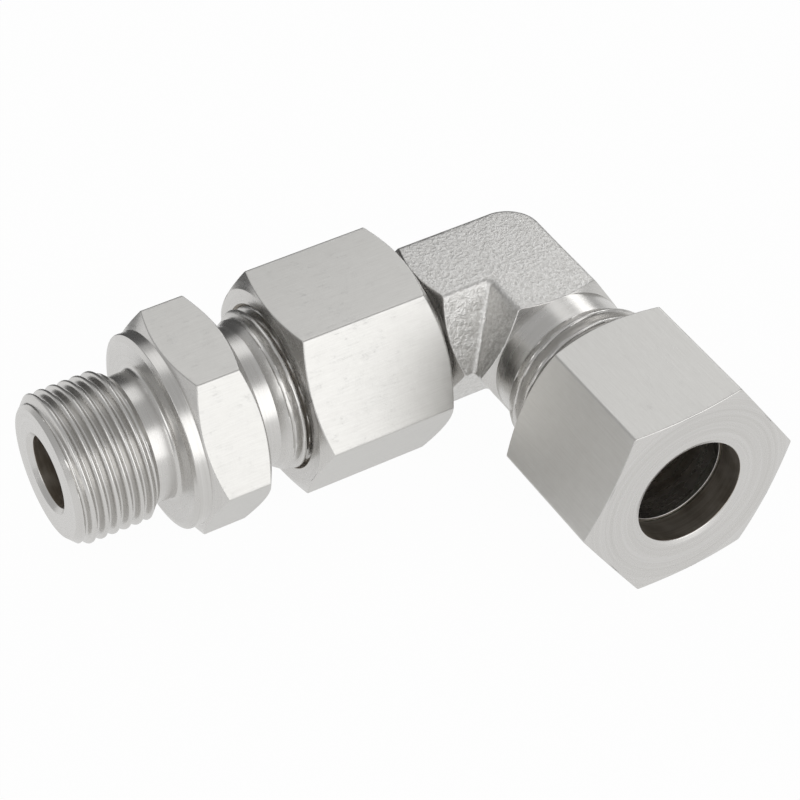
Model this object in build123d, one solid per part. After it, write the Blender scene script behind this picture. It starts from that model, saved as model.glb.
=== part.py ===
from build123d import *
from math import radians, sin, sqrt, tan
import os

# Adjustable male elbow for 12 mm tube: a turned stud fitting, and a forged elbow whose plain
# stub is held in the stud by a nut and a cutting ring, so it can be turned to any direction.
# All lengths are millimetres. The origin is the middle of the sealing face at the stud's port
# thread, +X runs along the stud to the elbow, the elbow's open arm points to -Y, +Z is up.

# Tube and the 24 degree cone ends that both bodies share
tube_d = 12.0
socket_gap = 0.05
socket_depth = 7.0
cone_rise = 1.15
cone_half_angle = 12.0
tube_end_gap = 0.1

# Nut thread, the same on the stud and on the elbow
thread_wall = 1.85
nut_thread_gap = 0.05
neck_drop = 1.15
neck_fillet = 0.4
thread_end_chamfer = 0.8

# Port thread of the stud, a parallel pipe thread of 16.662 mm
port_thread_d = 16.662
port_thread_length = 12.0
port_thread_chamfer = 1.2
relief_drop = 1.281
relief_width = 3.7
relief_fillet = 0.5
port_bore_wall = 4.331
port_countersink = 0.55

# Sealing flange and hexagon of the stud
nut_wall = 2.0
flange_drop = 0.2
flange_thickness = 1.55
flange_bevel_width = 0.75
flange_bevel_depth = 0.25
stud_hex_length = 7.1
hex_face_drop = 0.4
hex_chamfer_angle = 30.0
stud_hex_turn = 2.7
stud_neck_length = 2.6
stud_taper_length = 1.6
stud_thread_length = 6.55

# Union nuts
nut_length = 16.3
nut_mouth_bevel = 0.3
nut_thread_depth = 8.5
nut_chamber_drop = 0.9
nut_bore_gap = 0.2
nut_bore_length = 3.45
nut_seat_drop = 1.4
nut_seat_angle = 45.0
nut_bore_bevel_width = 0.6
nut_bore_bevel_depth = 0.25
stud_nut_engagement = 5.3
stud_nut_turn = 1.2
stud_nut_mouth_drop = 0.1
stud_nut_mouth_angle = 25.0
stud_nut_back_gap = 1.55
tube_nut_engagement = 4.15
tube_nut_turn = 4.0
tube_nut_back_drop = 0.15
tube_nut_back_angle = 13.0

# Cutting rings
ring_length = 10.0
ring_nose_wall = 0.45
ring_collar_gap = 0.05
ring_taper_length = 4.0
ring_back_land = 0.25
ring_seat_gap = 0.06
ring_groove_depth = 0.2
ring_groove_start = 0.9
ring_groove_width = 1.8
ring_edge_angle = 45.0

# Forged block of the elbow, six-sided in section and rounded at the outer corner
block_arm = 11.2
block_top_width = 9.4
block_side_angle = 30.0
block_corner_radius = 3.65
block_edge_radius = 0.4
block_inner_radius = 0.5
block_face_angle = 30.0
elbow_neck_length = 3.2
elbow_taper_length = 1.1
elbow_thread_length = 8.5
stub_wall = 1.5
stub_end_chamfer = 0.5
stub_root_fillet = 0.4
arm_bore_step = 1.05
drill_half_angle = 59.0
drill_overrun = 1.5

# Diameters, each from what it goes round or into
nut_bore_d = tube_d + 2 * nut_bore_gap
cone_mouth_d = tube_d + 2 * cone_rise
nut_thread_d = cone_mouth_d + 2 * thread_wall
neck_d = nut_thread_d - 2 * neck_drop
nut_mouth_d = nut_thread_d + 2 * nut_mouth_bevel
nut_chamber_d = nut_thread_d - 2 * nut_chamber_drop
nut_seat_d = nut_thread_d - 2 * nut_seat_drop
nut_af = nut_thread_d + 2 * nut_wall
hex_face_d = nut_af - 2 * hex_face_drop
flange_d = nut_af - 2 * flange_drop
stud_nut_mouth_d = nut_af - 2 * stud_nut_mouth_drop
tube_nut_back_d = nut_af - 2 * tube_nut_back_drop
relief_d = port_thread_d - 2 * relief_drop
port_bore_d = port_thread_d - 2 * port_bore_wall
ring_bore_d = tube_d + 2 * socket_gap
ring_nose_d = ring_bore_d + 2 * ring_nose_wall
ring_collar_d = nut_seat_d - 2 * ring_collar_gap
ring_back_d = nut_bore_d + 2 * ring_back_land
ring_groove_d = ring_bore_d + 2 * ring_groove_depth
stub_bore_d = tube_d - 2 * stub_wall
arm_bore_d = ring_bore_d - 2 * arm_bore_step
block_half_height = neck_d / 2

# Reach of the cutting tools past the metal
clear = 1.0

# Positions along the stud's axis
stud_hex_start = flange_thickness
stud_hex_end = stud_hex_start + stud_hex_length
stud_thread_start = stud_hex_end + stud_neck_length
stud_end = stud_thread_start + stud_taper_length + stud_thread_length
stud_socket_end = stud_end - socket_depth
stud_nut_start = stud_end - stud_nut_engagement
elbow_x = stud_nut_start + nut_length + stud_nut_back_gap + block_arm
stub_length = elbow_x - stud_socket_end - tube_end_gap

# Positions along the elbow's open arm, from the elbow's centre outwards
arm_thread_start = block_arm + elbow_neck_length
arm_end = arm_thread_start + elbow_taper_length + elbow_thread_length
arm_socket_end = arm_end - socket_depth
tube_nut_start = arm_end - tube_nut_engagement

# Shared radii and slopes
socket_radius = tube_d / 2 + socket_gap
cone_slope = tan(radians(cone_half_angle))
seat_slope = tan(radians(nut_seat_angle))
thread_radius = nut_thread_d / 2
neck_radius = neck_d / 2

# Frames: local x runs along a turned piece's axis, local y points up
stud_axis = Plane(origin=(0, 0, 0), x_dir=(1, 0, 0), z_dir=(0, -1, 0))
stub_axis = Plane(origin=(elbow_x, 0, 0), x_dir=(-1, 0, 0), z_dir=(0, 1, 0))
arm_axis = Plane(origin=(elbow_x, 0, 0), x_dir=(0, -1, 0), z_dir=(-1, 0, 0))


def turned(points, rounded=None, radius=0.0):
    """Solid of revolution about local x, with one corner of the profile rounded if asked."""
    profile = make_face(Polyline(*points, close=True))
    if rounded is not None:
        corner = profile.vertices().sort_by_distance((rounded[0], rounded[1], 0))[0]
        profile = fillet(corner, radius)
    return revolve(profile, Axis.X)


def bar(start, end, radius):
    """Plain cylinder along local x."""
    return turned([(start, 0), (start, radius), (end, radius), (end, 0)])


def hexagon(start, length, across_flats, turn, ends):
    """Hexagon along local x, with a cone at each end that leaves a round face of that size."""
    prism = extrude(
        Plane.YZ * RegularPolygon(across_flats / 2, 6, major_radius=False, rotation=30 + turn),
        amount=length,
    )
    reach = across_flats / sqrt(3) + clear
    (left_d, left_angle), (right_d, right_angle) = ends
    left = (reach - left_d / 2) * tan(radians(left_angle))
    right = (reach - right_d / 2) * tan(radians(right_angle))
    barrel = turned([
        (0, 0), (0, left_d / 2), (left, reach), (length - right, reach),
        (length, right_d / 2), (length, 0),
    ])
    return Pos(start, 0, 0) * (prism & barrel)


def cone_socket(end, socket_end, bore_d, bore_end):
    """Tube socket with its 24 degree mouth, and the bore beyond it."""
    cone_length = (cone_mouth_d / 2 - socket_radius) / cone_slope
    mouth = turned([
        (socket_end, 0), (socket_end, socket_radius), (end - cone_length, socket_radius),
        (end, cone_mouth_d / 2), (end + clear, cone_mouth_d / 2), (end + clear, 0),
    ])
    return mouth + bar(bore_end, socket_end + clear, bore_d / 2)


def nut_thread_end(start, neck_length, taper_length, end):
    """Neck, taper and threaded length that a nut screws onto, ending at the cone's mouth."""
    neck_end = start + neck_length
    return turned([
        (start - clear, 0), (start - clear, neck_radius), (neck_end, neck_radius),
        (neck_end + taper_length, thread_radius), (end - thread_end_chamfer, thread_radius),
        (end, thread_radius - thread_end_chamfer), (end, 0),
    ])


def root_fillet(start, radius, size):
    """Ring that rounds the corner where a shaft of that radius leaves a face."""
    ring = make_face(Polyline(
        (start - size, radius - size), (start - size, radius + size), (start, radius + size),
        (start, radius), (start + size, radius), (start + size, radius - size), close=True,
    ))
    corner = ring.vertices().sort_by_distance((start, radius, 0))[0]
    return revolve(fillet(corner, size * 0.95), Axis.X)


def male_stud():
    """Turned stud: port thread, relief, sealing flange, hexagon and the threaded cone end."""
    port_radius = port_thread_d / 2
    relief_radius = relief_d / 2
    flange_radius = flange_d / 2
    run_out = relief_drop
    port_end = turned(
        [
            (-port_thread_length, 0),
            (-port_thread_length, port_radius - port_thread_chamfer),
            (port_thread_chamfer - port_thread_length, port_radius),
            (-relief_width, port_radius),
            (run_out - relief_width, relief_radius),
            (0, relief_radius),
            (0, flange_radius - flange_bevel_width),
            (flange_bevel_depth, flange_radius),
            (stud_hex_start + clear, flange_radius),
            (stud_hex_start + clear, 0),
        ],
        rounded=(0, relief_radius),
        radius=relief_fillet,
    )
    hex_ends = ((flange_d, hex_chamfer_angle), (hex_face_d, hex_chamfer_angle))
    body = port_end + hexagon(stud_hex_start, stud_hex_length, nut_af, stud_hex_turn, hex_ends)
    body += nut_thread_end(stud_hex_end, stud_neck_length, stud_taper_length, stud_end)
    body += root_fillet(stud_hex_end, neck_radius, neck_fillet)
    bore_radius = port_bore_d / 2
    countersink = turned([
        (-port_thread_length - clear, 0),
        (-port_thread_length - clear, bore_radius + port_countersink + clear),
        (port_countersink - port_thread_length, bore_radius),
        (port_countersink - port_thread_length, 0),
    ])
    body -= cone_socket(stud_end, stud_socket_end, port_bore_d, -port_thread_length - clear)
    body -= countersink
    return stud_axis * body


def union_nut(mouth_face, back_face, turn):
    """Hexagon nut along local x from its threaded mouth to the tube side."""
    body = hexagon(0, nut_length, nut_af, turn, (mouth_face, back_face))
    thread_bore = thread_radius + nut_thread_gap
    mouth_bevel = nut_mouth_bevel - nut_thread_gap
    bore_radius = nut_bore_d / 2
    bore_start = nut_length - nut_bore_length
    seat_start = bore_start - (nut_seat_d / 2 - bore_radius) / seat_slope
    inside = turned([
        (-clear, 0), (-clear, nut_mouth_d / 2), (0, nut_mouth_d / 2),
        (mouth_bevel, thread_bore), (nut_thread_depth, thread_bore),
        (nut_thread_depth, nut_chamber_d / 2), (seat_start, nut_chamber_d / 2),
        (seat_start, nut_seat_d / 2), (bore_start, bore_radius),
        (nut_length - nut_bore_bevel_depth, bore_radius),
        (nut_length, bore_radius + nut_bore_bevel_width),
        (nut_length + clear, bore_radius + nut_bore_bevel_width), (nut_length + clear, 0),
    ])
    return body - inside


def ring_offset():
    """How far behind a nut's mouth face the nose of its cutting ring lies."""
    bore_start = nut_length - nut_bore_length
    back_slack = (ring_back_d / 2 - nut_bore_d / 2) / seat_slope
    slack = ring_seat_gap / sin(radians(nut_seat_angle))
    return bore_start - back_slack - slack - ring_length


def cutting_ring():
    """Cutting ring along local x from its nose to the back that the nut's seat presses."""
    bore = socket_radius
    groove = ring_groove_d / 2
    groove_run = (groove - bore) / tan(radians(ring_edge_angle))
    groove_end = ring_groove_start + ring_groove_width
    collar = ring_collar_d / 2
    taper_end = ring_nose_d / 2 + ring_taper_length * cone_slope
    back_run = (collar - ring_back_d / 2) / seat_slope
    return turned([
        (0, bore), (0, ring_nose_d / 2), (ring_taper_length, taper_end),
        (ring_taper_length, collar), (ring_length - back_run, collar),
        (ring_length, ring_back_d / 2), (ring_length, bore),
        (groove_end, bore), (groove_end - groove_run, groove),
        (ring_groove_start, groove), (ring_groove_start, bore),
    ])


def forged_block():
    """Bent six-sided bar about the elbow's centre, with drafted sides and a round outer corner."""
    slope = tan(radians(block_side_angle))
    top = block_top_width / 2
    draft = block_half_height * slope
    wide = top + draft
    end = -block_arm - draft - clear
    outline = make_face(Polyline((end, end), (wide, end), (wide, wide), (end, wide), close=True))
    outer = outline.vertices().sort_by_distance((wide, wide, 0))[0]
    outline = fillet(outer, block_corner_radius + draft)
    half = extrude(outline, amount=block_half_height, taper=block_side_angle)
    wall = Polygon(
        (-wide - clear * slope, -clear), (clear * slope - top, block_half_height + clear),
        (end - clear, block_half_height + clear), (end - clear, -clear), align=None,
    )
    span = block_arm + wide
    beside_a = extrude(Plane(origin=(-span, 0, 0), x_dir=(0, 1, 0), z_dir=(1, 0, 0)) * wall,
                       amount=span)
    beside_b = extrude(Plane(origin=(0, 0, 0), x_dir=(1, 0, 0), z_dir=(0, -1, 0)) * wall,
                       amount=span)
    notch = beside_a & beside_b
    inner = notch.edges().sort_by_distance(((top + wide) / -2, (top + wide) / -2, draft))[0]
    half -= fillet(inner, block_inner_radius)
    half = fillet(half.faces().sort_by(Axis.Z)[-1].edges(), block_edge_radius)
    return half + mirror(half, Plane.XY)


def block_facing():
    """Tool that faces one arm of the block to a cone, along local x from the elbow's centre."""
    reach = block_half_height + block_top_width
    cone_run = (reach - neck_radius) * tan(radians(block_face_angle))
    return turned([
        (block_arm, 0), (block_arm, neck_radius), (block_arm - cone_run, reach),
        (block_arm + reach, reach), (block_arm + reach, 0),
    ])


def drilling(start, end, bore_d):
    """Drilled passage along local x from its mouth to the drill's point."""
    point = bore_d / 2 / tan(radians(drill_half_angle))
    return turned([(start, 0), (start, bore_d / 2), (end, bore_d / 2), (end - point, 0)])


def elbow_body():
    """Forged elbow: block, plain stub towards the stud, and the threaded cone end."""
    at_centre = Pos(elbow_x, 0, 0)
    body = at_centre * forged_block()
    body -= stub_axis * block_facing()
    body -= arm_axis * block_facing()
    stub_radius = tube_d / 2
    stub = turned([
        (block_arm - clear, 0), (block_arm - clear, stub_radius),
        (stub_length - stub_end_chamfer, stub_radius),
        (stub_length, stub_radius - stub_end_chamfer), (stub_length, 0),
    ])
    body += stub_axis * (stub + root_fillet(block_arm, stub_radius, stub_root_fillet))
    body += arm_axis * nut_thread_end(block_arm, elbow_neck_length, elbow_taper_length, arm_end)
    body -= stub_axis * drilling(stub_length + clear, -drill_overrun, stub_bore_d)
    body -= arm_axis * drilling(arm_socket_end + clear, -drill_overrun, arm_bore_d)
    body -= arm_axis * cone_socket(arm_end, arm_socket_end, arm_bore_d, 0)
    return body


stud_nut_ends = ((stud_nut_mouth_d, stud_nut_mouth_angle), (hex_face_d, hex_chamfer_angle))
tube_nut_ends = ((hex_face_d, hex_chamfer_angle), (tube_nut_back_d, tube_nut_back_angle))
stud_nut_place = Pos(stud_nut_start, 0, 0)
tube_nut_place = Pos(tube_nut_start, 0, 0)
ring_place = Pos(ring_offset(), 0, 0)

parts = {
    "male_stud": male_stud(),
    "stub_nut": stud_axis * stud_nut_place * union_nut(*stud_nut_ends, stud_nut_turn),
    "stub_cutting_ring": stud_axis * stud_nut_place * ring_place * cutting_ring(),
    "elbow_body": elbow_body(),
    "tube_nut": arm_axis * tube_nut_place * union_nut(*tube_nut_ends, tube_nut_turn),
    "tube_cutting_ring": arm_axis * tube_nut_place * ring_place * cutting_ring(),
}

os.makedirs("parts", exist_ok=True)
for name, solid in parts.items():
    export_step(solid, f"parts/{name}.step")
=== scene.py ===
"""Looks for an adjustable male elbow fitting, built around its packed CAD model."""

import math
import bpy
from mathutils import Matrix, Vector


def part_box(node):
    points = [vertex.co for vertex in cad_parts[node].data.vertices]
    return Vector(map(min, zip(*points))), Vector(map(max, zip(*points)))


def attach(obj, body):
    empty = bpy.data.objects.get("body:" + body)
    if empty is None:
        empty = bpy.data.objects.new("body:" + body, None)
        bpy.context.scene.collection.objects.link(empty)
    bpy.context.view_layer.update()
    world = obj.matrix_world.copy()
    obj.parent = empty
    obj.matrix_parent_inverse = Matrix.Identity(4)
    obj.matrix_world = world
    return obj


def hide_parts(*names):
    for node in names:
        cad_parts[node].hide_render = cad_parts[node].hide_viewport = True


bl_info = {
    "name": "Adjustable male elbow",
    "version": (1, 0, 0),
    "blender": (4, 5, 0),
    "location": "3D View > Sidebar > Fitting",
    "description": "Threads, hexagons, forged skin and steel finishes on the fitting's CAD frame",
    "category": "Object",
}

import bpy
import numpy as np
from mathutils import Matrix, Vector, noise

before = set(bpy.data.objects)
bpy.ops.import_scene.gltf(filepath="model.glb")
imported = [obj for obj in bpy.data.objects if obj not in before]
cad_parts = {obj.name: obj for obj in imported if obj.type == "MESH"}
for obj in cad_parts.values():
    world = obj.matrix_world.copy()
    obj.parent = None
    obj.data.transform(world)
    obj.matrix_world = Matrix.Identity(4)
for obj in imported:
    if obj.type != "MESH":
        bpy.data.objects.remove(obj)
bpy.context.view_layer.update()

MM = 0.001
TURN = 2 * math.pi
STUD_LOW, STUD_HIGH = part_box("male_stud")
STUD_NUT_LOW, STUD_NUT_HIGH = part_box("stub_nut")
STUD_RING_LOW, STUD_RING_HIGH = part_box("stub_cutting_ring")
ARM_RING_LOW, ARM_RING_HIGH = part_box("tube_cutting_ring")
ARM_NUT_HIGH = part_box("tube_nut")[1]
ELBOW_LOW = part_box("elbow_body")[0]
ELBOW_CENTRE = (ARM_RING_LOW[0] + ARM_RING_HIGH[0]) / 2

# Steps of the arc that softens a corner, and how many softenings off its holding rows stand
ARC_SHARES = (0.0, 0.25, 0.5, 0.75, 1.0)
HOLD = 1.4
# Columns round a hexagon's corner, as shares of its arc, and the part of a flat with even columns
CORNER_COLUMNS = np.array([-0.6, -0.25, 0.0, 0.25, 0.6])
EVEN_PART = 0.985
# Share of a full wave in a thread's flanks, which rounds its crest and root
FLANK_WAVE = 0.8
# Edges that bend more than this are shaded sharp
SHARP_ANGLE = math.radians(34)

# Waves of the forged skin: height, waves a millimetre and shift. The sides are rougher than the top
NO_SHIFT = Vector((0.0, 0.0, 0.0))
TOP_WAVES = ((0.5, 0.35, NO_SHIFT), (0.12, 2.2, NO_SHIFT))
SIDE_WAVES = ((0.6, 0.35, NO_SHIFT), (0.9, 0.9, Vector((7.0, 3.0, 1.0))), (0.35, 2.6, NO_SHIFT))
# Ridge at the parting line: usual height, how far it varies, and waves a millimetre
RIDGE_HEIGHT, RIDGE_CHANGE, RIDGE_WAVES = 0.55, 0.75, 1.3

# Softboxes: place in metres from the middle of the stud's axis, width and height, and watts
SOFTBOXES = {
    "front_softbox": ((0.21, -0.6, 0.27), (0.55, 0.62), 1.35),
    "left_softbox": ((-0.55, -0.31, 0.36), (0.45, 0.45), 0.8),
    "top_softbox": ((0.25, 0.4, 0.7), (0.42, 0.42), 0.36),
    "side_softbox": ((0.5, 0.5, 0.34), (0.2, 0.25), 0.3),
}

# Slots of the skins
TURNED, FLAT, INSIDE, SKIN = 0, 1, 2, 3


# Kinds of setting that a user can change
def place(name, description, metres):
    """Place along an axis, with its default read from the frame."""
    return bpy.props.FloatProperty(
        name=name, description=description, default=metres, precision=5, unit="LENGTH")


def length(name, description, millimetres):
    """Length, with its default in millimetres."""
    return place(name, description, millimetres * MM)


def angle(name, description, degrees):
    """Angle, with its default in degrees."""
    return bpy.props.FloatProperty(
        name=name, description=description, default=math.radians(degrees), subtype="ANGLE")


def amount(name, description, value):
    """Plain number."""
    return bpy.props.FloatProperty(name=name, description=description, default=value, precision=3)


def whole(name, description, number, least=8):
    """Whole number, and the least it may be."""
    return bpy.props.IntProperty(name=name, description=description, default=number, min=least)


def colour(name, description, red, green, blue):
    """Colour, in linear red, green and blue."""
    return bpy.props.FloatVectorProperty(
        name=name, description=description, default=(red, green, blue), size=3,
        subtype="COLOR", min=0.0, max=1.0)


class FittingThreads(bpy.types.PropertyGroup):
    """Threads of the port and of the nuts."""
    port_pitch: length("Port pitch", "Pitch of the parallel pipe thread", 1.337)
    port_depth: length("Port thread depth", "Crest to root of the pipe thread", 0.856)
    nut_pitch: length("Nut pitch", "Pitch of the nut thread", 1.5)
    nut_depth: length("Nut thread depth", "Crest to root of the nut thread", 0.92)
    nut_radius: length("Nut thread radius", "Crest radius of the threads the nuts go on", 9.0)
    nut_gap: length("Nut thread gap", "Play between a nut's thread and its mate", 0.05)
    end_chamfer: length("Thread end chamfer", "Chamfer where a nut thread ends", 0.8)
    port_start: length("Port thread start", "Where the pipe thread's first turn starts", 0.36)
    port_crest: amount("Port crest", "Flat share of the pipe thread's crest", 0.1)
    port_root: amount("Port root", "Flat share of the pipe thread's root", 0.08)
    nut_crest: amount("Nut crest", "Flat share of the nut thread's crest", 0.14)
    nut_root: amount("Nut root", "Flat share of the nut thread's root", 0.2)
    rows: whole("Rows a pitch", "Rows of faces in each turn of a thread", 16)


class FittingStud(bpy.types.PropertyGroup):
    """Turned stud, measured from its sealing face."""
    port_end: place("Port end", "End of the port thread", STUD_LOW[0])
    nut_end: place("Nut end", "End of the nut thread", STUD_HIGH[0])
    port_radius: length("Port thread radius", "Crest radius of the pipe thread", 8.331)
    port_chamfer: length("Port chamfer", "Chamfer at the end of the port thread", 1.2)
    relief_radius: length("Relief radius", "Radius of the groove behind the port thread", 7.05)
    relief_width: length("Relief width", "Width of that groove", 3.7)
    relief_fillet: length("Relief fillet", "Fillet at the sealing face", 0.5)
    bore_radius: length("Bore radius", "Radius of the way through", 4.0)
    countersink: length("Countersink", "Countersink at the port end", 0.55)
    flange_radius: length("Flange radius", "Radius of the sealing flange", 10.8)
    flange_bevel: length("Flange bevel width", "Radial width of the flange's bevel", 0.75)
    flange_bevel_depth: length("Flange bevel depth", "Axial depth of the flange's bevel", 0.25)
    hex_start: length("Hexagon start", "Where the hexagon starts", 1.55)
    hex_end: length("Hexagon end", "Where the hexagon ends", 8.65)
    neck_end: length("Neck end", "Where the neck ends and its taper starts", 11.25)
    taper: length("Taper", "Length of the taper up to the thread", 1.6)
    turn: angle("Hexagon turn", "How far the hexagon is turned from level", 2.7)


class FittingHexagon(bpy.types.PropertyGroup):
    """What the three hexagons share."""
    across_flats: length("Across flats", "Size of the hexagons", 22.0)
    corner: length("Corner radius", "Rounding along the hexagon's corners", 0.3)
    edge: length("Edge softness", "Rounding where a flat meets a chamfer", 0.1)
    face_radius: length("Face radius", "Radius of the round face that a chamfer leaves", 10.6)
    chamfer: angle("Chamfer angle", "Slope of the usual chamfer from the face", 30.0)
    steps: whole("Steps a flat", "Columns of faces across each flat", 30)


class FittingNut(bpy.types.PropertyGroup):
    """Union nuts, measured from the threaded mouth."""
    stud_start: place("Stud nut start", "Mouth of the nut on the stud", STUD_NUT_LOW[0])
    tube_start: place("Tube nut start", "Mouth of the tube's nut, from the elbow's centre",
                      -ARM_NUT_HIGH[1])
    span: place("Length", "Length of a nut", STUD_NUT_HIGH[0] - STUD_NUT_LOW[0])
    stud_turn: angle("Stud nut turn", "How far the stud's nut is turned from level", 1.2)
    tube_turn: angle("Tube nut turn", "How far the tube's nut is turned from level", 4.0)
    mouth_radius: length("Mouth radius", "Radius of the bevelled mouth", 9.3)
    thread_depth: length("Threaded depth", "Depth of the thread inside", 8.5)
    chamber_radius: length("Chamber radius", "Radius of the space behind the thread", 8.1)
    bore_radius: length("Bore radius", "Radius of the hole for the tube", 6.2)
    bore_length: length("Bore length", "Length of the hole for the tube", 3.45)
    seat_radius: length("Seat radius", "Outer radius of the cone that presses the ring", 7.6)
    bevel_width: length("Bore bevel width", "Radial width of the bevel at the hole", 0.6)
    bevel_depth: length("Bore bevel depth", "Axial depth of that bevel", 0.25)
    stud_mouth_face: length("Stud nut face", "Radius of the stud nut's mouth face", 10.9)
    stud_mouth_chamfer: angle("Stud nut chamfer", "Slope of that face's chamfer", 25.0)
    tube_back_face: length("Tube nut face", "Radius of the tube nut's outer face", 10.85)
    tube_back_chamfer: angle("Tube nut chamfer", "Slope of that face's chamfer", 13.0)


class FittingRing(bpy.types.PropertyGroup):
    """Cutting rings, measured from the nose."""
    stud_start: place("Stub ring start", "Nose of the stub's ring", STUD_RING_LOW[0])
    tube_start: place("Tube ring start", "Nose of the tube's ring, from the elbow's centre",
                      -ARM_RING_HIGH[1])
    span: place("Length", "Length of a ring", STUD_RING_HIGH[0] - STUD_RING_LOW[0])
    nose_radius: length("Nose radius", "Outer radius at the nose", 6.5)
    taper_length: length("Taper length", "Length of the nose's cone", 4.0)
    collar_radius: length("Collar radius", "Outer radius of the collar", 7.55)
    back_radius: length("Back radius", "Outer radius of the back face", 6.45)
    bore_radius: length("Bore radius", "Inner radius", 6.05)
    groove_radius: length("Groove radius", "Radius of the groove behind the cutting edge", 6.25)
    groove_start: length("Groove start", "Where that groove starts", 0.9)
    groove_end: length("Groove end", "Where that groove ends", 2.7)
    columns: whole("Columns", "Columns of faces round a ring", 120)


class FittingElbow(bpy.types.PropertyGroup):
    """Forged elbow, measured from the crossing of its two axes."""
    centre: place("Centre", "Crossing of the two axes, along the stud's axis", ELBOW_CENTRE)
    stub_end: place("Stub end", "End of the plain stub", ELBOW_CENTRE - ELBOW_LOW[0])
    arm_end: place("Arm end", "End of the open arm", -ELBOW_LOW[1])
    arm: length("Block arm", "From the centre to the end of the forged block", 11.2)
    half_height: length("Half height", "Half the height of the block", 7.85)
    half_top: length("Half top", "Half the width of the block's top", 4.7)
    draft: angle("Draft", "Slope of the block's sides", 30.0)
    top_edge: length("Top edge", "Rounding along the edges of the top", 0.42)
    side_edge: length("Parting edge", "Rounding at the parting line", 0.3)
    corner_centre: length("Corner centre", "Centre of the outer corner's rounding", 1.05)
    inner_radius: length("Inner radius", "Rounding of the inner corner", 0.5)
    end_chamfer: angle("End chamfer", "Slope of the block's turned ends", 30.0)
    neck_radius: length("Neck radius", "Radius of the turned necks", 7.85)
    neck_length: length("Neck length", "Length of the plain neck", 3.2)
    taper: length("Taper", "Length of the taper up to the thread", 1.1)
    stub_radius: length("Stub radius", "Outer radius of the plain stub", 6.0)
    stub_bore: length("Stub bore", "Radius of the way through the stub", 4.5)
    arm_bore: length("Arm bore", "Radius of the way through the open arm", 5.0)
    flash: length("Flash", "Height of the ridge at the parting line", 0.16)
    flash_width: length("Flash width", "Half the width of that ridge", 0.22)
    dents: length("Dents", "Depth of the forging's unevenness", 0.05)
    side_share: amount("Side share", "Share of the half height that counts as the sides", 0.93)
    stub_chamfer: length("Stub chamfer", "Chamfer at the end of the stub", 0.5)
    bore_run: length("Bore run", "From the stub's end to the first row inside it", 1.0)
    face_gap: length("Face gap", "Least width of the face round a neck", 0.005)
    skin_inset: length("Skin inset", "From the block's end to the first loop of its skin", 0.3)
    skin_step: length("Skin step", "Width of the skin's faces", 0.27)
    arm_loops: whole("Arm loops", "Loops of the skin along each arm", 48)
    corner_loops: whole("Corner loops", "Loops of the skin round the bend", 26)
    fade_loops: whole("Fade loops", "Loops over which the unevenness fades at the ends", 4, 1)


class FittingSocket(bpy.types.PropertyGroup):
    """Cone and socket that both bodies share."""
    mouth_radius: length("Mouth radius", "Radius of the cone at its mouth", 7.15)
    radius: length("Socket radius", "Radius of the socket for the tube", 6.05)
    depth: length("Socket depth", "Depth to the shoulder that stops the tube", 7.0)
    half_angle: angle("Half angle", "Half the angle of the cone", 12.0)


class FittingEdges(bpy.types.PropertyGroup):
    """How far the turned edges are softened."""
    keen: length("Keen", "Cutting edges", 0.02)
    thread: length("Thread", "Ends of the nut threads and of the rings' grooves", 0.03)
    crisp: length("Crisp", "Mouths and shoulders", 0.04)
    plain: length("Plain", "Most edges", 0.05)
    lip: length("Lip", "Lip of the port's countersink", 0.06)
    eased: length("Eased", "Outer edges of the faces", 0.08)
    rounded: length("Rounded", "Bevels and the block's turned ends", 0.1)
    fillet: length("Fillet", "Where a neck or a stub meets a face", 0.4)


class FittingSteel(bpy.types.PropertyGroup):
    """Colours, roughness and relief of the steels."""
    turned_light: colour("Turned, light", "Bright lathe lines", 0.67, 0.66, 0.645)
    turned_dark: colour("Turned, dark", "Dull lathe lines", 0.6, 0.59, 0.57)
    bar_light: colour("Bar, light", "Clean drawn bar", 0.68, 0.675, 0.655)
    bar_dark: colour("Bar, dark", "Rubbed drawn bar", 0.57, 0.56, 0.54)
    forged_light: colour("Forged, light", "Peened high spots", 0.8, 0.795, 0.78)
    forged_dark: colour("Forged, dark", "Hollows of the blasted skin", 0.6, 0.59, 0.57)
    # Both inside colours are darker than the turned steel outside: painted shade inside the bores.
    # Between them the tone varies with random oil stains.
    shaded_inside_light: colour("Inside, light", "Bored surface", 0.55, 0.51, 0.455)
    oiled_shaded_inside_dark: colour("Inside, dark", "Oiled bored surface", 0.36, 0.315, 0.26)
    turned_roughness: amount("Turned roughness", "Least roughness off the lathe", 0.16)
    bar_roughness: amount("Bar roughness", "Least roughness of the drawn bar", 0.27)
    forged_roughness: amount("Forged roughness", "Least roughness of the blasted skin", 0.3)
    inside_roughness: amount("Inside roughness", "Least roughness of a bored surface", 0.34)
    turned_relief: length("Turned relief", "Depth of the lathe lines", 0.0045)
    bar_relief: length("Bar relief", "Depth of the bar's lines and scratches", 0.011)
    forged_relief: length("Forged relief", "Depth of the blasted grain", 0.1)
    inside_relief: length("Inside relief", "Depth of the rings in a bore", 0.01)


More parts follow.
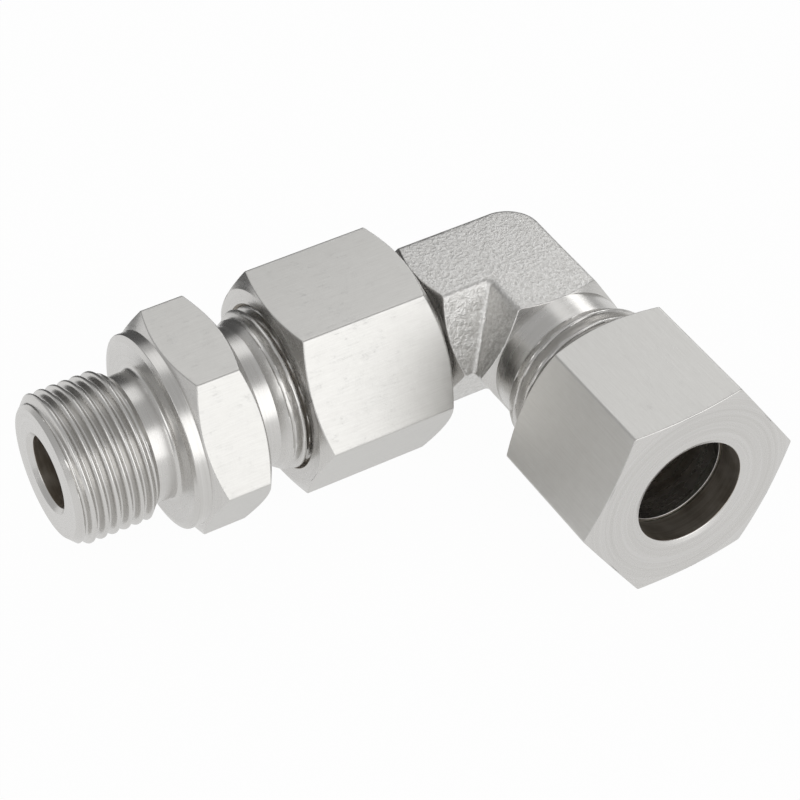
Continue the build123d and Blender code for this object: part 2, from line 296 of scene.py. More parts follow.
class FittingStudio(bpy.types.PropertyGroup):
    """Camera, floor and lights."""
    azimuth: angle("Azimuth", "Which way round the camera stands", -29.79)
    elevation: angle("Elevation", "How far down the camera looks", 42.42)
    roll: angle("Roll", "Tilt of the camera", 0.653)
    right: length("Camera right", "Camera from the elbow's centre, along X", -127.62)
    ahead: length("Camera ahead", "Camera from the elbow's centre, along Y", -199.91)
    above: length("Camera above", "Camera from the elbow's centre, along Z", 201.12)
    lens: amount("Lens", "Focal length in millimetres on a 36 mm sensor", 127.645)
    nearest: length("Nearest", "Nearest distance that the camera sees", 10.0)
    sky: amount("Sky", "Brightness of the room around the object", 0.66)
    # The dark flag is a painted dark reflection: an emitting sheet that only reflections see
    flag_reach: length("Flag distance", "How far behind the stud the dark flag stands", 45.0)
    flag_height: length("Flag height", "Height of the dark flag's edge above the stud's axis", 33.0)
    flag_left: length("Flag left", "Left end of the dark flag, from the sealing face", -15.0)
    flag_right: length("Flag right", "Right end of the dark flag", 105.0)
    flag_shade: amount("Flag shade", "Brightness of the dark flag", 0.1)
    floor_reach: length("Floor reach", "From the floor's middle to its edges", 3000.0)
    floor_shade: amount("Floor shade", "How much light the floor scatters", 0.8)
    floor_white: amount("Floor white", "How much of the floor's own white the camera sees", 0.97)
    floor_glossy: amount("Floor reflection", "How much of that white the reflections see", 0.75)


class Outline:
    """Closed outline of a turned piece, whose corners may stand differently at each angle."""

    def __init__(self, angles):
        self.angles = angles
        self.corners = []

    def to(self, along, radius, soft=0.0, slot=TURNED):
        """Goes on to a corner, softened by that much; slot is the finish from there on."""
        count = len(self.angles)
        point = np.stack([np.broadcast_to(along, count), np.broadcast_to(radius, count)], axis=1)
        self.corners.append((point, soft, slot))

    def rows(self, closed=True):
        """Rows of points and the finish after each, with every soft corner turned into an arc."""
        points, slots = [], []
        last = len(self.corners) - 1
        for i, (corner, soft, slot) in enumerate(self.corners):
            if not soft or (not closed and i in (0, last)):
                points.append(corner)
                slots.append(slot)
                continue
            slot_before = self.corners[i - 1][2]
            back = towards(corner, self.corners[i - 1][0]) * soft
            ahead = towards(corner, self.corners[(i + 1) % (last + 1)][0]) * soft
            points += [corner + back * HOLD, *arc(corner, back, ahead), corner + ahead * HOLD]
            slots += [slot_before, *(slot_before if share < 0.5 else slot for share in ARC_SHARES), slot]
        return np.array(points), slots


def arc(corner, back, ahead):
    """Points that round a corner, from its softening one way to its softening the other."""
    return [corner + back * (1 - share) ** 2 + ahead * share ** 2 for share in ARC_SHARES]


def towards(start, end):
    """Unit directions from one row of points to another."""
    way = end - start
    return way / np.maximum(np.linalg.norm(way, axis=1, keepdims=True), 1e-9)


def on_stud_axis(rows, angles):
    """Puts rows of (along, radius) around the stud's axis."""
    along, radius = rows[..., 0], rows[..., 1]
    return np.stack([along, radius * np.cos(angles), radius * np.sin(angles)], axis=-1)


def on_arm_axis(rows, angles, centre):
    """Puts rows of (along, radius) around the open arm's axis, outwards from the elbow's centre."""
    along, radius = rows[..., 0], rows[..., 1]
    return np.stack([centre + radius * np.cos(angles), -along, radius * np.sin(angles)], axis=-1)


def on_stub_axis(rows, angles, centre):
    """Puts rows of (along, radius) around the stub, outwards from the elbow's centre."""
    along, radius = rows[..., 0], rows[..., 1]
    return np.stack([centre - along, radius * np.cos(angles), radius * np.sin(angles)], axis=-1)


def add_object(name, data):
    """Object with that data, in the scene."""
    item = bpy.data.objects.new(name, data)
    bpy.context.scene.collection.objects.link(item)
    return item


def lowest():
    """Height of the fitting's lowest corner."""
    return min(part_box(node)[0][2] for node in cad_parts)


def closed_skin(name, loops, slots, steels):
    """Closed mesh over loops of equally many points, where the last loop joins the first."""
    rows, count = loops.shape[:2]
    row, column = np.arange(rows)[:, None], np.arange(count)[None, :]
    next_row, next_column = (row + 1) % rows, (column + 1) % count
    quads = np.stack([
        row * count + column, row * count + next_column,
        next_row * count + next_column, next_row * count + column,
    ], axis=-1).reshape(-1, 4)
    points = loops.reshape(-1, 3)
    first, second, third, fourth = (points[quads[:, i]] for i in range(4))
    volume = np.einsum("ij,ij->", first, np.cross(second, third))
    volume += np.einsum("ij,ij->", first, np.cross(third, fourth))
    if volume < 0:
        quads = quads[:, ::-1]
    mesh = bpy.data.meshes.new(name)
    mesh.from_pydata(points.tolist(), [], quads.tolist())
    mesh.polygons.foreach_set("material_index", np.repeat(np.array(slots), count).astype(np.int32))
    mesh.polygons.foreach_set("use_smooth", np.ones(len(quads), dtype=bool))
    mesh.set_sharp_from_angle(angle=SHARP_ANGLE)
    mesh.update()
    for steel in steels:
        mesh.materials.append(steel)
    return add_object(name, mesh)


def dress(piece, node, body):
    """The piece stands for a CAD node, which it hides, and moves with its body."""
    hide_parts(node)
    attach(piece, body)


def hexagon_outline(sizes, turn):
    """Angles round a hexagon and its radius at each, with its six corners rounded."""
    half, corner, half_side = sizes.across_flats / 2, sizes.corner, TURN / 12
    reach = (half - corner) / math.cos(half_side)
    half_arc = math.atan2(corner * math.sin(half_side), reach + corner * math.cos(half_side))
    flat = half_side - half_arc
    inner = np.linspace(-flat * EVEN_PART, flat * EVEN_PART, sizes.steps)
    off_flat = np.concatenate([[-flat], inner, [flat], half_side + CORNER_COLUMNS * half_arc])
    from_corner = np.abs(half_side - np.abs(off_flat))
    round_part = reach * np.cos(from_corner) + np.sqrt(
        np.maximum(corner ** 2 - (reach * np.sin(from_corner)) ** 2, 0.0))
    radius = np.where(from_corner < half_arc, round_part, half / np.cos(off_flat))
    flats = TURN / 4 + turn + np.arange(6) * TURN / 6
    return (flats[:, None] + off_flat[None, :]).ravel(), np.tile(radius, 6)


def thread_radius(along, angles, crest, depth, pitch, flat_crest, flat_root):
    """Radius of a right-handed thread at each angle, at one place along its axis."""
    valley = np.abs(2 * ((along / pitch - angles / TURN) % 1.0) - 1)
    valley = np.clip((valley - flat_crest) / (1 - flat_crest - flat_root), 0.0, 1.0)
    valley -= FLANK_WAVE * np.sin(TURN * valley) / TURN
    return crest - depth * valley


def pipe_thread(threads, crest, along, angles):
    """Radius of the port's thread."""
    along = along - threads.port_start
    return thread_radius(along, angles, crest, threads.port_depth, threads.port_pitch,
                         threads.port_crest, threads.port_root)


def nut_thread(threads, along, angles, gap=0.0):
    """Radius of the thread that a nut goes on, or of the nut's own with the gap."""
    return thread_radius(along, angles, threads.nut_radius + gap, threads.nut_depth,
                         threads.nut_pitch, threads.nut_crest, threads.nut_root)


def thread_end(outline, start, taper, end, neck):
    """Neck's taper, nut thread and its end chamfer, up to the end face."""
    threads, edges = bpy.context.scene.fitting_threads, bpy.context.scene.fitting_edges
    step = threads.nut_pitch / threads.rows
    slope = (threads.nut_radius - neck) / taper
    for along in np.arange(start + step, end - step / 2, step):
        radius = np.minimum(nut_thread(threads, along, outline.angles), neck + (along - start) * slope)
        radius = np.minimum(radius, threads.nut_radius - threads.end_chamfer + (end - along))
        outline.to(along, radius)
    outline.to(end, threads.nut_radius - threads.end_chamfer, edges.thread)


def cone_socket(outline, end, bore):
    """Cone mouth, socket and shoulder, down to the bore."""
    socket, edges = bpy.context.scene.fitting_socket, bpy.context.scene.fitting_edges
    cone = (socket.mouth_radius - socket.radius) / math.tan(socket.half_angle)
    outline.to(end, socket.mouth_radius, edges.plain, INSIDE)
    outline.to(end - cone, socket.radius, edges.plain, INSIDE)
    outline.to(end - socket.depth, socket.radius, slot=INSIDE)
    outline.to(end - socket.depth, bore, edges.plain, INSIDE)


class FITTING_OT_male_stud(bpy.types.Operator):
    """Turns the stud with its port thread, flange, hexagon and nut thread"""
    bl_idname = "fitting.male_stud"
    bl_label = "Male stud"

    def execute(self, context):
        scene = context.scene
        stud, threads, hexagon = scene.fitting_stud, scene.fitting_threads, scene.fitting_hexagon
        edges = scene.fitting_edges
        angles, flats = hexagon_outline(hexagon, stud.turn)
        chamfer = math.tan(hexagon.chamfer)
        outline = Outline(angles)
        outline.to(stud.port_end, stud.bore_radius + stud.countersink, edges.lip)
        outline.to(stud.port_end, stud.port_radius - stud.port_chamfer, edges.crisp)
        step = threads.port_pitch / threads.rows
        run_out = stud.port_radius - stud.relief_radius
        groove = -stud.relief_width
        for along in np.arange(stud.port_end + step, groove + run_out - step / 2, step):
            radius = pipe_thread(threads, stud.port_radius, along, angles)
            lead_in = stud.port_radius - stud.port_chamfer + (along - stud.port_end)
            lead_out = stud.port_radius - (along - groove)
            outline.to(along, np.minimum(np.minimum(radius, lead_in), lead_out))
        outline.to(groove + run_out, stud.relief_radius)
        outline.to(0.0, stud.relief_radius, stud.relief_fillet)
        outline.to(0.0, stud.flange_radius - stud.flange_bevel, edges.plain)
        outline.to(stud.flange_bevel_depth, stud.flange_radius, edges.eased)
        outline.to(stud.hex_start, stud.flange_radius, edges.crisp)
        outline.to(stud.hex_start + (flats - stud.flange_radius) * chamfer, flats, hexagon.edge, FLAT)
        outline.to(stud.hex_end - (flats - hexagon.face_radius) * chamfer, flats, hexagon.edge)
        outline.to(stud.hex_end, hexagon.face_radius, edges.eased)
        neck = scene.fitting_elbow.neck_radius
        outline.to(stud.hex_end, neck, edges.fillet)
        outline.to(stud.neck_end, neck)
        thread_end(outline, stud.neck_end, stud.taper, stud.nut_end, neck)
        cone_socket(outline, stud.nut_end, stud.bore_radius)
        outline.to(stud.port_end + stud.countersink, stud.bore_radius, edges.plain)
        rows, slots = outline.rows()
        piece = closed_skin("stud_turned", on_stud_axis(rows, angles), slots, machined("stud"))
        dress(piece, "male_stud", "stud")
        return {"FINISHED"}


class FITTING_OT_union_nuts(bpy.types.Operator):
    """Makes the two union nuts from hexagon bar, threaded inside"""
    bl_idname = "fitting.union_nuts"
    bl_label = "Union nuts"

    def execute(self, context):
        nut, hexagon = context.scene.fitting_nut, context.scene.fitting_hexagon
        usual = hexagon.face_radius, hexagon.chamfer
        rows, slots, angles = self.nut_rows(
            context, nut.stud_start, nut.stud_turn, (nut.stud_mouth_face, nut.stud_mouth_chamfer), usual)
        piece = closed_skin("stud_union_nut", on_stud_axis(rows, angles), slots, machined("stud"))
        dress(piece, "stub_nut", "stub_nut")
        rows, slots, angles = self.nut_rows(
            context, nut.tube_start, nut.tube_turn, usual, (nut.tube_back_face, nut.tube_back_chamfer))
        loops = on_arm_axis(rows, angles, context.scene.fitting_elbow.centre)
        piece = closed_skin("tube_union_nut", loops, slots, machined("arm"))
        dress(piece, "tube_nut", "tube_nut")
        return {"FINISHED"}

    def nut_rows(self, context, start, turn, mouth, back):
        """Rows, finishes and angles of a nut whose mouth is at start."""
        scene = context.scene
        nut, threads, hexagon = scene.fitting_nut, scene.fitting_threads, scene.fitting_hexagon
        edges = scene.fitting_edges
        angles, flats = hexagon_outline(hexagon, turn)
        end = start + nut.span
        bore_start = end - nut.bore_length
        seat_start = bore_start - (nut.seat_radius - nut.bore_radius)
        outline = Outline(angles)
        outline.to(start, nut.mouth_radius, edges.crisp)
        outline.to(start, mouth[0], edges.plain)
        outline.to(start + (flats - mouth[0]) * math.tan(mouth[1]), flats, hexagon.edge, FLAT)
        outline.to(end - (flats - back[0]) * math.tan(back[1]), flats, hexagon.edge)
        outline.to(end, back[0], edges.plain)
        outline.to(end, nut.bore_radius + nut.bevel_width, edges.rounded)
        outline.to(end - nut.bevel_depth, nut.bore_radius, edges.rounded, INSIDE)
        outline.to(bore_start, nut.bore_radius, edges.plain, INSIDE)
        outline.to(seat_start, nut.seat_radius, slot=INSIDE)
        outline.to(seat_start, nut.chamber_radius, slot=INSIDE)
        step = threads.nut_pitch / threads.rows
        for along in np.arange(start + nut.thread_depth, start + step / 2, -step):
            radius = nut_thread(threads, along, angles, threads.nut_gap)
            outline.to(along, np.maximum(radius, nut.mouth_radius - (along - start)), slot=INSIDE)
        return *outline.rows(), angles


class FITTING_OT_cutting_rings(bpy.types.Operator):
    """Turns the two cutting rings"""
    bl_idname = "fitting.cutting_rings"
    bl_label = "Cutting rings"

    def execute(self, context):
        ring = context.scene.fitting_ring
        angles = np.arange(ring.columns) * TURN / ring.columns
        rows, slots = self.ring_rows(context, ring.stud_start, angles)
        piece = closed_skin("stub_ring", on_stud_axis(rows, angles), slots, [turned_steel("stud")])
        dress(piece, "stub_cutting_ring", "stub_ring")
        rows, slots = self.ring_rows(context, ring.tube_start, angles)
        loops = on_arm_axis(rows, angles, context.scene.fitting_elbow.centre)
        piece = closed_skin("tube_ring", loops, slots, [turned_steel("arm")])
        dress(piece, "tube_cutting_ring", "tube_ring")
        return {"FINISHED"}

    def ring_rows(self, context, start, angles):
        """Rows of a ring whose nose is at start."""
        scene = context.scene
        ring, socket, edges = scene.fitting_ring, scene.fitting_socket, scene.fitting_edges
        end = start + ring.span
        taper_end = ring.nose_radius + ring.taper_length * math.tan(socket.half_angle)
        back_run = ring.collar_radius - ring.back_radius
        groove_run = ring.groove_radius - ring.bore_radius
        outline = Outline(angles)
        outline.to(start, ring.bore_radius, edges.keen)
        outline.to(start, ring.nose_radius, edges.plain)
        outline.to(start + ring.taper_length, taper_end, edges.crisp)
        outline.to(start + ring.taper_length, ring.collar_radius, edges.crisp)
        outline.to(end - back_run, ring.collar_radius, edges.rounded)
        outline.to(end, ring.back_radius, edges.eased)
        outline.to(end, ring.bore_radius, edges.eased)
        outline.to(start + ring.groove_end, ring.bore_radius, edges.thread)
        outline.to(start + ring.groove_end - groove_run, ring.groove_radius)
        outline.to(start + ring.groove_start, ring.groove_radius)
        outline.to(start + ring.groove_start, ring.bore_radius, edges.keen)
        return outline.rows()


class FITTING_OT_forged_elbow(bpy.types.Operator):
    """Forges the elbow's block and turns its stub, neck and thread"""
    bl_idname = "fitting.forged_elbow"
    bl_label = "Forged elbow"

    def execute(self, context):
        scene = context.scene
        elbow, edges = scene.fitting_elbow, scene.fitting_edges
        angles, section = self.section(elbow)
        slope = math.tan(elbow.end_chamfer)
        block_end = elbow.arm - np.maximum(section - elbow.neck_radius, 0.0) * slope
        block_in = block_end - elbow.skin_inset
        face = np.minimum(elbow.neck_radius, section - elbow.face_gap)

        stub = Outline(angles)
        stub.to(elbow.stub_end, elbow.stub_bore)
        stub.to(elbow.stub_end, elbow.stub_radius - elbow.stub_chamfer, edges.plain)
        stub.to(elbow.stub_end - elbow.stub_chamfer, elbow.stub_radius, edges.plain)
        stub.to(elbow.arm, elbow.stub_radius, edges.fillet)
        stub.to(elbow.arm, face)
        stub.to(block_end, section, edges.rounded, SKIN)
        stub.to(block_in, section, slot=SKIN)
        stub_rows, stub_slots = stub.rows(closed=False)

        arm = Outline(angles)
        arm.to(block_in, section, slot=SKIN)
        arm.to(block_end, section, edges.rounded)
        arm.to(elbow.arm, face)
        arm.to(elbow.arm + elbow.neck_length, elbow.neck_radius)
        thread_end(arm, elbow.arm + elbow.neck_length, elbow.taper, elbow.arm_end, elbow.neck_radius)
        cone_socket(arm, elbow.arm_end, elbow.arm_bore)
        arm.to(-elbow.arm_bore * np.cos(angles), elbow.arm_bore, slot=INSIDE)
        arm_rows, arm_slots = arm.rows(closed=False)

        back = Outline(angles)
        back.to(-elbow.stub_bore * np.cos(angles), elbow.stub_bore, slot=INSIDE)
        back.to(elbow.stub_end - elbow.bore_run, elbow.stub_bore, slot=INSIDE)
        back_rows, back_slots = back.rows(closed=False)

        bend = self.bend(elbow, angles, section, block_in)
        loops = np.concatenate([
            on_stub_axis(stub_rows, angles, elbow.centre),
            bend,
            on_arm_axis(arm_rows, angles, elbow.centre)[1:],
            on_stub_axis(back_rows, angles, elbow.centre),
        ])
        slots = stub_slots + [SKIN] * len(bend) + arm_slots[1:] + back_slots
        steels = *machined("arm"), blasted_forging("stud")
        piece = closed_skin("elbow_forged", loops, slots, steels)
        dress(piece, "elbow_body", "elbow")
        return {"FINISHED"}

    def section(self, elbow):
        """Angles and radii round the forging's six-sided section, with its corners rounded."""
        high, top = elbow.half_height, elbow.half_top
        wide = top + high * math.tan(elbow.draft)
        corners = np.array([
            (wide, 0), (top, high), (-top, high), (-wide, 0), (-top, -high), (top, -high)])
        softness = [elbow.side_edge, elbow.top_edge, elbow.top_edge] * 2
        points = []
        for i, (corner, soft) in enumerate(zip(corners, softness)):
            back, ahead = corners[i - 1] - corner, corners[(i + 1) % 6] - corner
            back, ahead = back / np.linalg.norm(back) * soft, ahead / np.linalg.norm(ahead) * soft
            points += arc(corner, back, ahead)
            start = corner + ahead
            following = corners[(i + 1) % 6]
            finish = following - ahead / soft * softness[(i + 1) % 6]
            pieces = int(np.linalg.norm(finish - start) / elbow.skin_step)
            for share in np.arange(1, pieces) / pieces:
                points.append(start + (finish - start) * share)
        points = np.array(points)
        angles = np.arctan2(points[:, 1], points[:, 0]) % TURN
        order = np.argsort(angles)
        return angles[order], np.hypot(points[:, 0], points[:, 1])[order]

    def bend(self, elbow, angles, section, end):
        """Loops of the forged skin round the bend, between the turned ends of its arms."""
        side, high = section * np.cos(angles), section * np.sin(angles)
        radius = np.maximum(side - elbow.corner_centre, elbow.inner_radius)
        start = side - radius
        arm = [-end + (start + end) * share for share in np.linspace(0, 1, elbow.arm_loops)[1:]]
        ways = np.radians(np.linspace(90, 0, elbow.corner_loops)[1:-1])
        path = [(along, side) for along in arm]
        path += [(start + radius * math.cos(way), start + radius * math.sin(way)) for way in ways]
        path += [(side, along) for along in reversed(arm)]
        loops = np.array([np.stack([x, y, high], axis=1) for x, y in path])
        return loops + self.relief(elbow, loops) + (elbow.centre, 0, 0)

    def relief(self, elbow, loops):
        """How each point of the skin moves along its normal: dents, folds and the parting line."""
        high = loops[..., 2]
        on_side = np.abs(high) < elbow.side_share * elbow.half_height
        along = np.gradient(loops, axis=0)
        around = np.roll(loops, -1, axis=1) - np.roll(loops, 1, axis=1)
        normals = np.cross(around, along)
        normals /= np.maximum(np.linalg.norm(normals, axis=2, keepdims=True), 1e-12)
        if np.mean(np.sign(normals[..., 2] * high)[~on_side]) < 0:
            normals = -normals
        order = np.arange(len(loops))
        fade = np.clip(np.minimum(order, order[::-1]) / elbow.fade_loops, 0.0, 1.0)[:, None]
        dents = np.array([
            [self.unevenness(point / MM, SIDE_WAVES if slanted else TOP_WAVES)
             for point, slanted in zip(loop, row)] for loop, row in zip(loops, on_side)])
        ridge = np.exp(-(high / elbow.flash_width) ** 2)
        jag = np.array([
            [noise.noise(Vector((*point[:2], 0.0)) / MM * RIDGE_WAVES) for point in loop]
            for loop in loops])
        lift = dents * elbow.dents + ridge * (RIDGE_HEIGHT + RIDGE_CHANGE * jag) * elbow.flash
        return normals * (lift * fade)[..., None]

    def unevenness(self, point, waves):
        """How far the forged skin stands out at a point, from about -1 to 1."""
        return sum(height * noise.noise(Vector(point) * scale + shift) for height, scale, shift in waves)


class Wire:
    """A socket that carries a number, so that shader maths reads as a formula."""

    def __init__(self, finish, socket):
        self.finish = finish
        self.socket = socket

    def maths(self, operation, *values):
        return self.finish.node("ShaderNodeMath", {"operation": operation}, dict(enumerate(values)))

    def __add__(self, other):
        return self.maths("ADD", self, other)

    __radd__ = __add__

    def __sub__(self, other):
        return self.maths("SUBTRACT", self, other)

    def __rsub__(self, other):
        return self.maths("SUBTRACT", other, self)

    def __mul__(self, other):
        return self.maths("MULTIPLY", self, other)

    def __truediv__(self, other):
        return self.maths("DIVIDE", self, other)

    def __pow__(self, other):
        return self.maths("POWER", self, other)

    def __abs__(self):
        return self.maths("ABSOLUTE", self)


class Finish:
    """Nodes of a material or of the world."""

    def __init__(self, owner):
        owner.use_nodes = True
        self.owner = owner
        self.tree = owner.node_tree
        self.tree.nodes.clear()

    def node(self, kind, settings, sockets, output=0):
        """A node of that type with its settings, then its sockets' values or wires."""
        node = self.tree.nodes.new(kind)
        for setting, value in settings.items():
            setattr(node, setting, value)
        for socket, value in sockets.items():
            if isinstance(value, Wire):
                self.tree.links.new(value.socket, node.inputs[socket])
            else:
                node.inputs[socket].default_value = value
        if isinstance(output, tuple):
            return tuple(Wire(self, node.outputs[name]) for name in output)
        return Wire(self, node.outputs[output])

    def surface(self, shader, kind="ShaderNodeOutputMaterial"):
        """Ends the nodes in that shader."""
        self.node(kind, {}, {"Surface": shader}, ())

    def axes(self, axis):
        """Millimetres along a turning axis, and across it two ways."""
        centre = bpy.context.scene.fitting_elbow.centre if axis == "arm" else 0.0
        spot = self.node("ShaderNodeTexCoord", {}, {}, "Object")
        spot = self.node(
            "ShaderNodeVectorMath", {"operation": "SUBTRACT"}, {0: spot, 1: (centre, 0.0, 0.0)})
        spot = self.node("ShaderNodeVectorMath", {"operation": "SCALE"}, {0: spot, "Scale": 1 / MM})
        x, y, z = self.node("ShaderNodeSeparateXYZ", {}, {0: spot}, ("X", "Y", "Z"))
        return (y, x, z) if axis == "arm" else (x, y, z)

    def grain(self, ways, lengthwise, across, detail, roughness, fourth=None):
        """Noise from 0 to 1, with so many features a millimetre along the axis and across it."""
        along, side, up = ways
        vector = self.node("ShaderNodeCombineXYZ", {}, {
            0: along * lengthwise, 1: side * across, 2: up * across})
        sockets = {"Vector": vector, "Scale": 1.0, "Detail": detail, "Roughness": roughness}
        if fourth is None:
            return self.node("ShaderNodeTexNoise", {"noise_dimensions": "3D"}, sockets)
        return self.node("ShaderNodeTexNoise", {"noise_dimensions": "4D"}, {**sockets, "W": fourth})

    def between(self, value, low, high):
        """0 below low, 1 above high, and evenly between."""
        return self.node("ShaderNodeMapRange", {"clamp": True}, {
            "Value": value, "From Min": low, "From Max": high, "To Min": 0.0, "To Max": 1.0})

    def mix(self, share, first, second):
        """First colour where the share is 0, and the second where it is 1."""
        return self.node("ShaderNodeMix", {"data_type": "RGBA"}, {
            0: share, 6: (*first, 1.0), 7: (*second, 1.0)}, 2)

    def metal(self, shade, roughness, height, relief):
        """Metal with that shade, roughness and relief, whose depth is in metres."""
        normal = self.node("ShaderNodeBump", {}, {"Strength": 1.0, "Distance": relief, "Height": height})
        self.surface(self.node("ShaderNodeBsdfPrincipled", {}, {
            "Base Color": shade, "Metallic": 1.0, "Roughness": roughness, "Normal": normal}))


def grey(shade):
    """Opaque grey for a colour socket."""
    return shade, shade, shade, 1.0


def shared(build):
    """Makes a finish for an axis the first time that a piece asks for it."""
    def material(axis):
        name = f"{build.__name__}_{axis}"
        if name not in bpy.data.materials:
            finish = Finish(bpy.data.materials.new(name))
            build(finish, bpy.context.scene.fitting_steel, finish.axes(axis))
        return bpy.data.materials[name]
    return material


def round_axis(ways):
    """Radius, and ways that run along the axis and round it."""
    along, side, up = ways
    radius = (side * side + up * up) ** 0.5
    return radius, (along, side / radius, up / radius)


@shared
def turned_steel(finish, steel, ways):
    """Steel off the lathe: fine rings that run round the axis, and a few broader ones."""
    radius, rings = round_axis(ways)
    fine = finish.grain(rings, 9.0, 0.7, 2.0, 0.6, radius * 9.0)
    broad = finish.grain(rings, 2.0, 0.4, 2.0, 0.5, radius * 2.0)
    spots = finish.grain(ways, 0.5, 0.5, 3.0, 0.6)
    bright = finish.between(fine * 0.5 + broad * 0.5, 0.35, 0.65)
    shade = finish.mix(bright, steel.turned_dark, steel.turned_light)
    roughness = steel.turned_roughness + broad * 0.12 + spots * 0.1
    finish.metal(shade, roughness, fine * 0.6 + broad * 0.4, steel.turned_relief)


@shared
def drawn_steel(finish, steel, ways):
    """Drawn hexagon bar: lines along the axis, rubbed patches and a few scratches."""
    along, side, up = ways
    lines = finish.grain(ways, 0.35, 9.0, 3.0, 0.6)
    patches = finish.grain(ways, 0.8, 0.8, 5.0, 0.7)
    specks = finish.grain(ways, 3.5, 3.5, 3.0, 0.65)
    slanting = finish.grain((along * 0.22 + side * 0.1, side, up), 1.0, 2.6, 1.0, 0.5)
    scratches = 1 - finish.between(abs(slanting - 0.5), 0.0, 0.006)
    scratches = scratches * finish.between(patches, 0.5, 0.62)
    bright = finish.between(lines * 0.6 + patches * 0.4, 0.2, 0.8)
    shade = finish.mix(bright, steel.bar_dark, steel.bar_light)
    roughness = steel.bar_roughness + patches * 0.12 + specks * 0.06 - scratches * 0.08
    finish.metal(shade, roughness, lines * 0.5 + specks * 0.3 - scratches * 0.6, steel.bar_relief)


@shared
def shaded_bored_steel(finish, steel, ways):
    """Bored steel inside, with random oil stains; both of its colours are darker than the outside steel,
    as painted shade inside the bores.
    """
    radius, rings = round_axis(ways)
    lines = finish.grain(rings, 4.0, 1.0, 2.0, 0.6, radius * 4.0)
    stains = finish.grain(ways, 0.35, 0.35, 3.0, 0.55)
    bright = finish.between(stains * 0.6 + lines * 0.4, 0.38, 0.6)
    # Painted shade: the bores take the darker inside colours, mixed by random stains and lathe rings.
    shade = finish.mix(bright, steel.oiled_shaded_inside_dark, steel.shaded_inside_light)
    finish.metal(shade, steel.inside_roughness + stains * 0.2, lines, steel.inside_relief)


@shared
def blasted_forging(finish, steel, ways):
    """Blasted forging: a fine bright grain over soft hollows."""
    grain = finish.grain(ways, 2.3, 2.3, 3.0, 0.6)
    fine = finish.grain(ways, 8.0, 8.0, 2.0, 0.6)
    broad = finish.grain(ways, 0.6, 0.6, 3.0, 0.6)
    bright = finish.between(grain * 0.6 + fine * 0.4, 0.4, 0.62)
    shade = finish.mix(bright, steel.forged_dark, steel.forged_light)
    roughness = steel.forged_roughness + broad * 0.12
    finish.metal(shade, roughness, grain + fine * 0.2, steel.forged_relief)


def machined(axis):
    """Finishes of a machined piece, in the order of the slots."""
    return turned_steel(axis), drawn_steel(axis), shaded_bored_steel(axis)


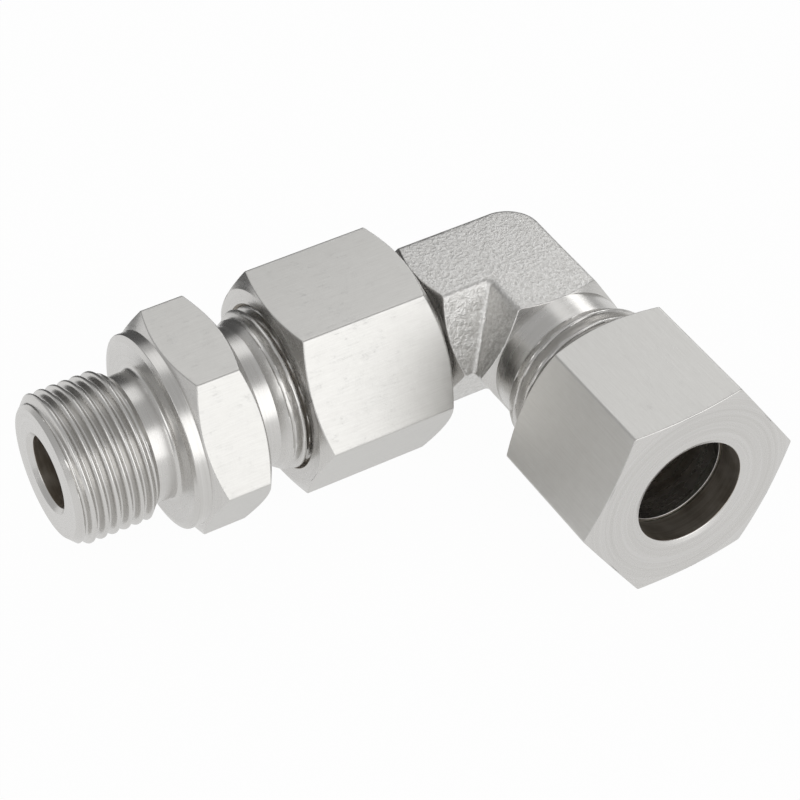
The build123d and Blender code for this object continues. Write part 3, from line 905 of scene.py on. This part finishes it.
class FITTING_OT_studio(bpy.types.Operator):
    """Sets the camera, the pale floor and the soft lights"""
    bl_idname = "fitting.studio"
    bl_label = "Studio"

    def execute(self, context):
        studio = context.scene.fitting_studio
        self.camera(context, studio)
        self.floor(studio)
        self.world(context, studio)
        self.flag(studio)
        for name, (spot, size, power) in SOFTBOXES.items():
            self.softbox(name, spot, size, power)
        context.scene.view_settings.view_transform = "Standard"
        return {"FINISHED"}

    def camera(self, context, studio):
        """Camera at the photograph's angle, distance and lens."""
        flat = math.cos(studio.elevation)
        forward = Vector((-math.sin(studio.azimuth) * flat, math.cos(studio.azimuth) * flat,
                          -math.sin(studio.elevation)))
        right = forward.cross(Vector((0, 0, 1))).normalized()
        up = right.cross(forward)
        level, tilt = math.cos(studio.roll), math.sin(studio.roll)
        right, up = right * level - up * tilt, up * level + right * tilt
        data = bpy.data.cameras.new("photo_camera")
        data.lens = studio.lens
        data.clip_start = studio.nearest
        camera = add_object("photo_camera", data)
        turned = Matrix((right, up, -forward)).transposed().to_4x4()
        spot = Vector((context.scene.fitting_elbow.centre + studio.right, studio.ahead, studio.above))
        camera.matrix_world = Matrix.Translation(spot) @ turned
        context.scene.camera = camera

    def sheet(self, name, corners, finish):
        """Flat sheet with that finish."""
        mesh = bpy.data.meshes.new(name)
        mesh.from_pydata(corners, [], [(0, 1, 2, 3)])
        mesh.materials.append(finish.owner)
        return add_object(name, mesh)

    def floor(self, studio):
        """Pale floor under the lowest corner, white to the camera but keeping the shadow."""
        finish = Finish(bpy.data.materials.new("floor_white"))
        lit = finish.node("ShaderNodeBsdfDiffuse", {}, {"Color": grey(studio.floor_shade)})
        white = finish.node("ShaderNodeEmission", {}, {"Color": grey(1.0), "Strength": 1.0})
        camera_ray, glossy_ray = finish.node(
            "ShaderNodeLightPath", {}, {}, ("Is Camera Ray", "Is Glossy Ray"))
        share = camera_ray * studio.floor_white + glossy_ray * studio.floor_glossy
        finish.surface(finish.node("ShaderNodeMixShader", {}, {0: share, 1: lit, 2: white}))
        low, reach = lowest(), studio.floor_reach
        corners = [(-reach, -reach, low), (reach, -reach, low), (reach, reach, low), (-reach, reach, low)]
        floor = self.sheet("studio_floor", corners, finish)

    def flag(self, studio):
        """Dark flag behind the fitting, which only reflections see: a painted dark reflection, since it
        neither blocks light nor casts shade.
        """
        finish = Finish(bpy.data.materials.new("painted_dark_reflection_black"))
        finish.surface(finish.node(
            "ShaderNodeEmission", {}, {"Color": grey(studio.flag_shade), "Strength": 1.0}))
        low, top, back = lowest(), studio.flag_height, studio.flag_reach
        left, right = studio.flag_left, studio.flag_right
        corners = [(left, back, low), (right, back, low), (right, back, top), (left, back, top)]
        flag = self.sheet("painted_dark_reflection", corners, finish)
        # Painted dark reflection: hidden from the camera, from diffuse light and from shadows
        flag.visible_camera = flag.visible_diffuse = flag.visible_shadow = False

    def world(self, context, studio):
        """White room: white to the camera, a little less bright to the metal."""
        world = bpy.data.worlds.new("studio_room")
        finish = Finish(world)
        camera_ray = finish.node("ShaderNodeLightPath", {}, {}, "Is Camera Ray")
        strength = camera_ray * (1 - studio.sky) + studio.sky
        background = finish.node("ShaderNodeBackground", {}, {"Strength": strength})
        finish.surface(background, "ShaderNodeOutputWorld")
        context.scene.world = world

    def softbox(self, name, spot, size, power):
        """Rectangular soft light that faces the fitting."""
        data = bpy.data.lights.new(name, "AREA")
        data.shape = "RECTANGLE"
        data.size, data.size_y = size
        data.energy = power
        light = add_object(name, data)
        middle = Vector((bpy.context.scene.fitting_elbow.centre / 2, 0.0, 0.0))
        light.location = middle + Vector(spot)
        light.rotation_euler = (middle - light.location).to_track_quat("-Z", "Y").to_euler()


class FITTING_PT_panel(bpy.types.Panel):
    """Lists the fitting's pieces and sizes"""
    bl_idname = "FITTING_PT_panel"
    bl_label = "Adjustable male elbow"
    bl_space_type = "VIEW_3D"
    bl_region_type = "UI"
    bl_category = "Fitting"

    def draw(self, context):
        for operator in OPERATORS:
            self.layout.operator(operator.bl_idname)
        for name, group in GROUPS.items():
            box = self.layout.box()
            box.label(text=group.__doc__)
            for field in group.__annotations__:
                box.prop(getattr(context.scene, name), field)


GROUPS = {
    "fitting_threads": FittingThreads,
    "fitting_stud": FittingStud,
    "fitting_hexagon": FittingHexagon,
    "fitting_nut": FittingNut,
    "fitting_ring": FittingRing,
    "fitting_elbow": FittingElbow,
    "fitting_socket": FittingSocket,
    "fitting_edges": FittingEdges,
    "fitting_steel": FittingSteel,
    "fitting_studio": FittingStudio,
}
OPERATORS = (
    FITTING_OT_male_stud, FITTING_OT_union_nuts, FITTING_OT_cutting_rings,
    FITTING_OT_forged_elbow, FITTING_OT_studio,
)


def register():
    for item in (*GROUPS.values(), *OPERATORS, FITTING_PT_panel):
        bpy.utils.register_class(item)
    for name, group in GROUPS.items():
        setattr(bpy.types.Scene, name, bpy.props.PointerProperty(type=group))


def unregister():
    for name in GROUPS:
        delattr(bpy.types.Scene, name)
    for item in reversed((*GROUPS.values(), *OPERATORS, FITTING_PT_panel)):
        bpy.utils.unregister_class(item)


def main():
    """Builds every piece and the studio."""
    register()
    bpy.ops.fitting.male_stud()
    bpy.ops.fitting.union_nuts()
    bpy.ops.fitting.cutting_rings()
    bpy.ops.fitting.forged_elbow()
    bpy.ops.fitting.studio()


if __name__ == "__main__":
    main()
